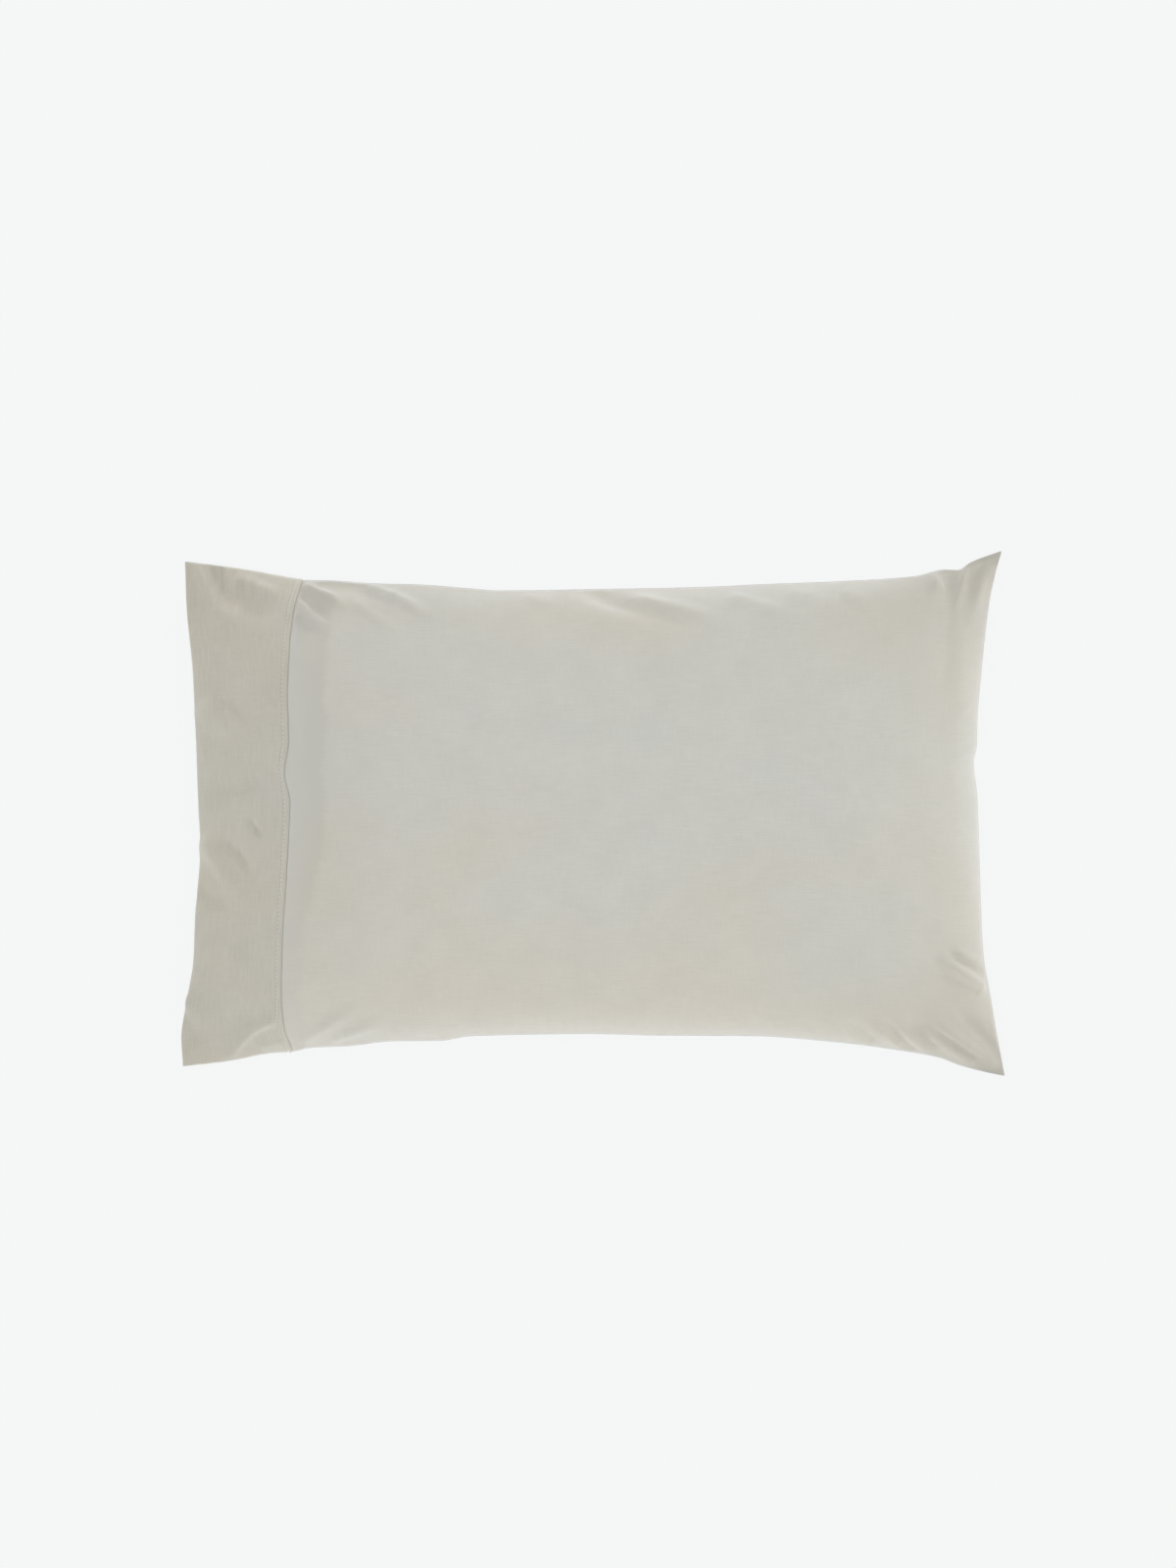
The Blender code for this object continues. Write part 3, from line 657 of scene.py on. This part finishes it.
def upperMove(station, across):
    # how far the settled and creased upper side stands from the plain one
    s = relief
    station, across = np.broadcast_arrays(np.asarray(station, float), np.asarray(across, float))
    plain = casePoints(station, across, True)
    move = settled(station, across)
    x, y = plain[..., 0] + move[..., 0], plain[..., 1] + move[..., 1]
    here = fullness(station, across)
    onBody = ease((station - 1) / s["hemShare"])
    rise = creaseRise(x, y, creases["body"]) * onBody + creaseRise(x, y, creases["cuff"]) * (1 - onBody)
    rise = rise * ease(s["creaseAtEdge"] + here / s["creaseOver"])
    rise = rise + puckerRise(station, across, x, y) * ease(here / s["puckerOver"])
    rise += s["uneven"] * softNoise(x, y, s["unevenSize"], s["unevenSeed"]) * ease(here / s["unevenOver"])
    # close to the outline a crease rises and falls more than it pushes outward
    outward = ease((here - s["outwardFrom"]) / s["outwardOver"])
    way = facingAt(station, across) * np.stack([outward, outward, 1 + 0 * outward], axis=-1)
    return move + way * rise[..., None]


def lowerMove(station, across):
    # the lower side gathers only where it has left the floor
    s = relief
    plain = casePoints(station, across, False)
    here = fullness(station, across)
    rise = puckerRise(station, across, plain[..., 0], plain[..., 1]) * s["lowerPucker"]
    rise *= ease(here / s["puckerOver"]) * ease((plain[..., 2] - s["liftFrom"]) / s["liftOver"])
    return -facingAt(station, across, False) * rise[..., None]


# the body: two panels over the pillow, its left end tucked into the cuff
bodyShape = {"cellsAlong": 313, "cellsAcross": 220, "evenAcross": 0.70, "evenAlong": 0.62, "seamEdge": 0.0016,
             "seamDip": 0.0007, "endFrom": 0.36, "firstRow": 0.0042,
             # the pillow's end inside the cuff
             "tuckInset": 0.0023, "tuckCells": 16, "tuckCrowd": 1.7, "tuckRound": 2.2, "tuckFull": 0.6,
             "sideRoom": 0.0016, "pillowInCuff": 0.56, "cornerBack": 0.30, "drawIn": 0.030,
             # how the cloth comes up from under the hem line: distance from it, depth under the surface
             "hemRoll": [(0.00012, 0.0023), (0.00017, 0.0006), (0.0005, 0.00042), (0.0010, 0.00028),
                         (0.0018, 0.00014), (0.0028, 0.00005)]}
lowerCut = (0, 0.6, 0)  # on the flat cloth the lower side is cut this far beside the upper one


def acrossShares(cells, even):
    t = np.linspace(0, 1, cells + 1)
    return blend(-np.cos(math.pi * t), 2 * t - 1, even)


def makeBody():
    s = bodyShape
    across = acrossShares(s["cellsAcross"], s["evenAcross"])
    stations, insets, fulls, drawIns = [], [], [], []
    # the pillow's end inside the cuff, then the roll at the hem line, then the panels
    for i in range(s["tuckCells"] + 1):
        at = (i / s["tuckCells"]) ** s["tuckCrowd"]
        stations.append(blend(1 - s["pillowInCuff"] * (1 - s["cornerBack"] * across ** 4), 1.0, at))
        insets.append(s["tuckInset"])
        fulls.append((1 - (1 - at) ** s["tuckRound"]) ** s["tuckFull"])
        drawIns.append(s["sideRoom"] + s["drawIn"] * (1 - at) ** 2)
    for gap, inset in s["hemRoll"]:
        stations.append(1 + gap / bodyLength + 0 * across)
        insets.append(inset)
        fulls.append(1.0)
        drawIns.append(s["sideRoom"] * inset / s["tuckInset"])
    first = s["firstRow"] / bodyLength
    t = np.linspace(0, 1, s["cellsAlong"] + 1)
    for station in 1 + first + (1 - first) * blend(np.sin(math.pi / 2 * t), t, s["evenAlong"]):
        stations.append(station + 0 * across)
        insets.append(0.0)
        fulls.append(1.0)
        drawIns.append(0.0)
    stationGrid = np.array(stations)
    acrossGrid = np.broadcast_to(across, stationGrid.shape)
    moveUp, moveDown = upperMove(stationGrid, acrossGrid), lowerMove(stationGrid, acrossGrid)
    rows = list(zip(stations, insets, fulls, drawIns))
    upper = np.array([casePoints(row[0], across, True, *row[1:]) for row in rows])
    lower = np.array([casePoints(row[0], across, False, *row[1:]) for row in rows])
    upper += moveUp * np.array(fulls)[:, None, None]
    lower += moveDown * (np.array(insets) == 0)[:, None, None]
    seam = seamHeight(stationGrid, acrossGrid)
    half = s["seamEdge"] / 2
    upper[..., 2] = np.maximum(upper[..., 2], seam + half)
    lower[..., 2] = np.clip(lower[..., 2], 0.0, seam - half)
    count, columns = stationGrid.shape
    index = np.arange(count * columns).reshape(count, columns)
    ring = np.concatenate([index[:, 0], index[-1, 1:], index[-2::-1, -1], index[0, -2:0:-1]])
    rim = (upper.reshape(-1, 3)[ring] + lower.reshape(-1, 3)[ring]) / 2
    atEnd = np.abs(rim[:, 0]) > s["endFrom"]
    inward = np.stack([-np.sign(rim[:, 0]) * atEnd, -np.sign(rim[:, 1])], axis=-1)
    rim[:, :2] += s["seamDip"] * inward
    # the lower side has half the rows and columns, and meets the rim point for point at every second one
    coarse = np.arange(upper[::2, ::2, 0].size).reshape(upper[::2, ::2, 0].shape) + count * columns
    lowRing = np.concatenate([coarse[:, 0], coarse[-1, 1:], coarse[-2::-1, -1], coarse[0, -2:0:-1]])
    rimIndex = np.arange(len(ring)) + coarse.max() + 1
    faces = gridFaces(index) + gridFaces(coarse, True)
    total = len(ring)
    faces += [(ring[(i + 1) % total], ring[i], rimIndex[i], rimIndex[(i + 1) % total]) for i in range(total)]
    for i in range(0, total, 2):
        here, after = lowRing[i // 2], lowRing[(i // 2 + 1) % len(lowRing)]
        middle, last = rimIndex[i + 1], rimIndex[(i + 2) % total]
        faces += [(middle, rimIndex[i], here), (middle, here, after), (last, middle, after)]
    along, aside = cutPlaces(stationGrid, acrossGrid)
    fromSide = cutSize["width"] / 2 - np.abs(aside)
    fromEnd = np.minimum(fromSide, cutSize["length"] - along)
    cornerward = fromSide + cutSize["length"] - along
    fromBorder = np.minimum(fromEnd, np.maximum(along - cutSize["cuff"], 0))
    # more painted shade beside the hem line's upper end, where the side seam meets it
    share, reach = edgeShading["hemTop"]
    hemTopShade = share * falloff(fromSide, reach) * falloff(along - cutSize["cuff"], edgeShading["hemTopAlong"])
    shadeShare = np.clip(paintedShade(fromSide, cornerward, fromBorder) + hemTopShade * (aside > 0), 0, 1)
    place = np.stack([along, aside, shadeShare], axis=-1)
    points = np.concatenate([upper.reshape(-1, 3), lower[::2, ::2].reshape(-1, 3), rim])
    places = np.concatenate([place.reshape(-1, 3), place[::2, ::2].reshape(-1, 3) + lowerCut,
                             place.reshape(-1, 3)[ring]])
    body = meshObject("caseBody", points, [tuple(int(i) for i in face) for face in faces], places, bodyCloth)
    body.data.materials.append(pillowCloth)
    slots = np.zeros(len(body.data.polygons), np.int32)
    slots[:s["tuckCells"] * (columns - 1)] = 1
    panel = (count - 1) * (columns - 1)
    slots[panel:panel + s["tuckCells"] // 2 * (coarse.shape[1] - 1)] = 1
    body.data.polygons.foreach_set("material_index", slots)
    return body


body = makeBody()
print("body:", len(body.data.polygons), "faces")

# the cuff: a doubled band round the open end, its sewn edge standing as a ridge with a row of stitches
# behind it; foldRow, firstRow and edgeGap are shares of its width, and the depths shares of its cloth
cuffShape = {"cellsAlong": 56, "cellsAcross": 200, "evenAcross": 0.70, "cloth": 0.0023, "proud": 0.0004,
             "innerCells": 18, "width": 0.098, "edgeStep": 0.00036, "edgeRows": 23,
             "foldRow": 0.0035, "foldDepth": 0.15, "firstRow": 0.012, "edgeGap": 0.018,
             "lip": 0.0001, "lipDepth": 0.18,
             # its painted shade is weaker than the body's and reaches less far in; at noBorder none falls
             # inside the borders
             "shadeStrength": 0.45, "seamNarrow": 1.6, "cornerNarrow": 2.2, "noBorder": 0.6,
             # distance from the hem line, half width, rise
             "relief": [(0.0022, 0.0013, 0.0004), (0.0046, 0.0010, -0.0008), (0.0068, 0.0014, 0.0002)]}


def cuffRelief(fromEdge):
    return sum(rise * np.exp(-(((fromEdge - at) / wide) ** 2)) for at, wide, rise in cuffShape["relief"])


def makeCuff():
    s = cuffShape
    across = acrossShares(s["cellsAcross"], s["evenAcross"])
    edge = [1 - k * s["edgeStep"] / s["width"] for k in range(s["edgeRows"], 0, -1)]
    last = edge[0] - s["edgeGap"]
    outer = [(station, 0.0) for station in np.linspace(s["firstRow"], last, s["cellsAlong"])]
    outer += [(station, 0.0) for station in edge]
    inner = [(station, 1.0) for station in np.linspace(edge[-3], s["firstRow"], s["innerCells"])]
    lip = 1 - s["lip"] / s["width"]
    rows = [(s["foldRow"], s["foldDepth"]), *outer,
            (lip, s["lipDepth"]), (1.0, 0.5), (lip, 1 - s["lipDepth"]), *inner,
            (s["foldRow"], 1 - s["foldDepth"]), (0.0, 0.5)]
    station = np.array([row[0] for row in rows])[:, None] + 0 * across[None, :]
    depth = np.array([row[1] for row in rows])[:, None] + 0 * across[None, :]
    acrossGrid = across[None, :] + 0 * station
    ridge = cuffRelief((1 - station) * s["width"]) * np.clip(1 - 2 * depth, 0, 1)
    inset = blend(-s["proud"], s["cloth"] - s["proud"], depth) - ridge
    upper = casePoints(station, acrossGrid, True, inset) + upperMove(station, acrossGrid)
    lower = casePoints(station, acrossGrid, False, inset)
    band = np.concatenate([upper, lower[:, -2:0:-1]], axis=1)
    band[..., 2] = np.maximum(band[..., 2], 0.0)
    count, around = band.shape[:2]
    index = np.arange(count * around).reshape(count, around)
    wrapped = np.concatenate([index, index[:1]])
    wrapped = np.concatenate([wrapped, wrapped[:, :1]], axis=1)
    along, aside = cutPlaces(station, acrossGrid)
    fromSide = cutSize["width"] / 2 - np.abs(aside)
    fromCorner = s["cornerNarrow"] * (fromSide + along)
    # painted shade in the cuff's corners and along its side seams
    shadeShare = s["shadeStrength"] * paintedShade(s["seamNarrow"] * fromSide, fromCorner, s["noBorder"] + 0 * along)
    place = np.stack([along, aside, shadeShare], axis=-1)
    place = np.concatenate([place, place[:, -2:0:-1] + lowerCut], axis=1)
    return meshObject("cuffBand", band, gridFaces(wrapped), place, cuffCloth)


cuff = makeCuff()
print("cuff:", len(cuff.data.polygons), "faces")

# stitches along the hem line, lying in their own dip
stitchShape = {"from": 0.0047, "pitch": 0.0042, "length": 0.0031, "width": 0.00070, "height": 0.00058,
               "rings": 5, "sides": 6, "tipShare": 0.12, "shortOfSeam": 0.005, "pathPoints": 900}


def hemPath(upper):
    s = stitchShape
    end = 1 - s["shortOfSeam"]
    across = np.linspace(-end, end, s["pathPoints"])[None, :]
    station = 1 - s["from"] / cuffShape["width"] + 0 * across
    inset = -cuffShape["proud"] - cuffRelief(s["from"])
    path = casePoints(station, across, upper, inset)
    return (path + upperMove(station, across) if upper else path)[0]


def makeStitches():
    s = stitchShape
    points, faces = [], []
    for upper in (True, False):
        path = hemPath(upper)
        far = np.concatenate([[0], np.cumsum(np.linalg.norm(np.diff(path, axis=0), axis=1))])
        for start in np.arange(s["pitch"], far[-1] - s["pitch"], s["pitch"]):
            begin, stop = (Vector([np.interp(place, far, path[:, c]) for c in range(3)])
                           for place in (start, start + s["length"]))
            run = (stop - begin).normalized()
            out = Vector((0, 0, 1 if upper else -1))
            aside = run.cross(out).normalized()
            out = aside.cross(run).normalized()
            first = len(points)
            for ringNo in range(s["rings"]):
                t = ringNo / (s["rings"] - 1)
                thick = math.sin(math.pi * blend(s["tipShare"], 1 - s["tipShare"], t))
                centre = begin.lerp(stop, t)
                for side in range(s["sides"]):
                    turn = 2 * math.pi * side / s["sides"]
                    points.append(centre + aside * (math.cos(turn) * s["width"] * thick)
                                  + out * (math.sin(turn) * s["height"] * thick))
            for ringNo in range(s["rings"] - 1):
                for side in range(s["sides"]):
                    a = first + ringNo * s["sides"] + side
                    b = first + ringNo * s["sides"] + (side + 1) % s["sides"]
                    faces.append((a, b, b + s["sides"], a + s["sides"]))
            faces.append(tuple(first + side for side in reversed(range(s["sides"]))))
            last = first + (s["rings"] - 1) * s["sides"]
            faces.append(tuple(last + side for side in range(s["sides"])))
    points = np.array(points)
    points[:, 2] = np.maximum(points[:, 2], 0.0)
    return meshObject("hemStitches", points, faces, points * (1, 1, 0), threadCloth)


stitches = makeStitches()
print("stitches:", len(stitches.data.polygons), "faces")

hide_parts("case_body")
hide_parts("cuff")
for piece, slotName in ((body, "body_cloth"), (cuff, "cuff_cloth"), (stitches, "cuff_cloth")):
    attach(piece, "root")

# floor, light and camera
stageLook = {"floorSize": 40.0, "floorDrop": 0.0004, "glowColour": (0.985, 1.0, 0.995), "floorGlow": 0.966,
             "floorPaint": 0.55, "shadowShare": 0.08, "lightAim": (0, 0, 0.08)}
lights = {
    # x, y, z, size, power, colour
    "overhead": (-0.4, 0.1, 3.2, 2.6, 47.4, (0.90, 0.933, 1.0)),
    "right": (2.6, -0.6, 1.2, 1.6, 0.9, (1.0, 0.985, 0.96)),
}
worldLight = {"colour": (1.0, 0.970, 0.900), "sky": 0.36, "lowGain": 2.3, "rightGain": 0.29,
              "frontGain": 0.05}


def makeFloor():
    half = stageLook["floorSize"] / 2
    mesh = bpy.data.meshes.new("floor")
    corners = [(-half, -half, 0), (half, -half, 0), (half, half, 0), (-half, half, 0)]
    mesh.from_pydata(corners, [], [(0, 1, 2, 3)])
    floor = bpy.data.objects.new("floor", mesh)
    floor.location.z = -stageLook["floorDrop"]
    bpy.context.scene.collection.objects.link(floor)
    shader = Shader(bpy.data.materials.new("pale floor"))
    glow = shader.node("ShaderNodeEmission", {}, {"Color": (*stageLook["glowColour"], 1),
                                                  "Strength": stageLook["floorGlow"]})
    grey = stageLook["floorPaint"]
    paint = shader.node("ShaderNodeBsdfDiffuse", {}, {"Color": (grey, grey, grey, 1)})
    both = shader.node("ShaderNodeMixShader", {}, (stageLook["shadowShare"], glow, paint))
    shader.node("ShaderNodeOutputMaterial", {}, (both,))
    mesh.materials.append(shader.owner)


def makeLight(name, x, y, z, size, power, colour):
    data = bpy.data.lights.new(name, "AREA")
    data.shape, data.size, data.energy, data.color = "DISK", size, power, colour
    light = bpy.data.objects.new(name, data)
    light.location = (x, y, z)
    aim = Vector(stageLook["lightAim"]) - light.location
    light.rotation_euler = aim.to_track_quat("-Z", "Y").to_euler()
    light.visible_camera = False
    bpy.context.scene.collection.objects.link(light)


def makeWorld():
    # a pale room, brightest low down all round
    w = worldLight
    world = bpy.data.worlds.new("studio")
    shader = Shader(world)
    right, back, up = shader.parts(shader.node("ShaderNodeTexCoord"))
    low = 1.0 - up
    strength = right * w["rightGain"] - back * w["frontGain"] + low * low * low * w["lowGain"] + w["sky"]
    light = shader.node("ShaderNodeBackground", {}, {"Color": (*w["colour"], 1), "Strength": strength})
    shader.node("ShaderNodeOutputWorld", {}, (light,))
    bpy.context.scene.world = world


makeFloor()
makeWorld()
for name, row in lights.items():
    makeLight(name, *row)
bpy.context.scene.view_settings.view_transform = "Standard"
bpy.context.scene.view_settings.look = "None"

cameraData = bpy.data.cameras.new("camera")
cameraData.sensor_fit = "VERTICAL"
cameraData.sensor_height = cameraPlace["sensor"]
cameraData.lens = cameraPlace["sensor"] * cameraPlace["distance"] / cameraPlace["frameHeight"]
camera = bpy.data.objects.new("camera", cameraData)
camera.location = (cameraPlace["x"], cameraPlace["y"], cameraPlace["distance"])
bpy.context.scene.collection.objects.link(camera)
bpy.context.scene.camera = camera
print("stage, light and camera set")
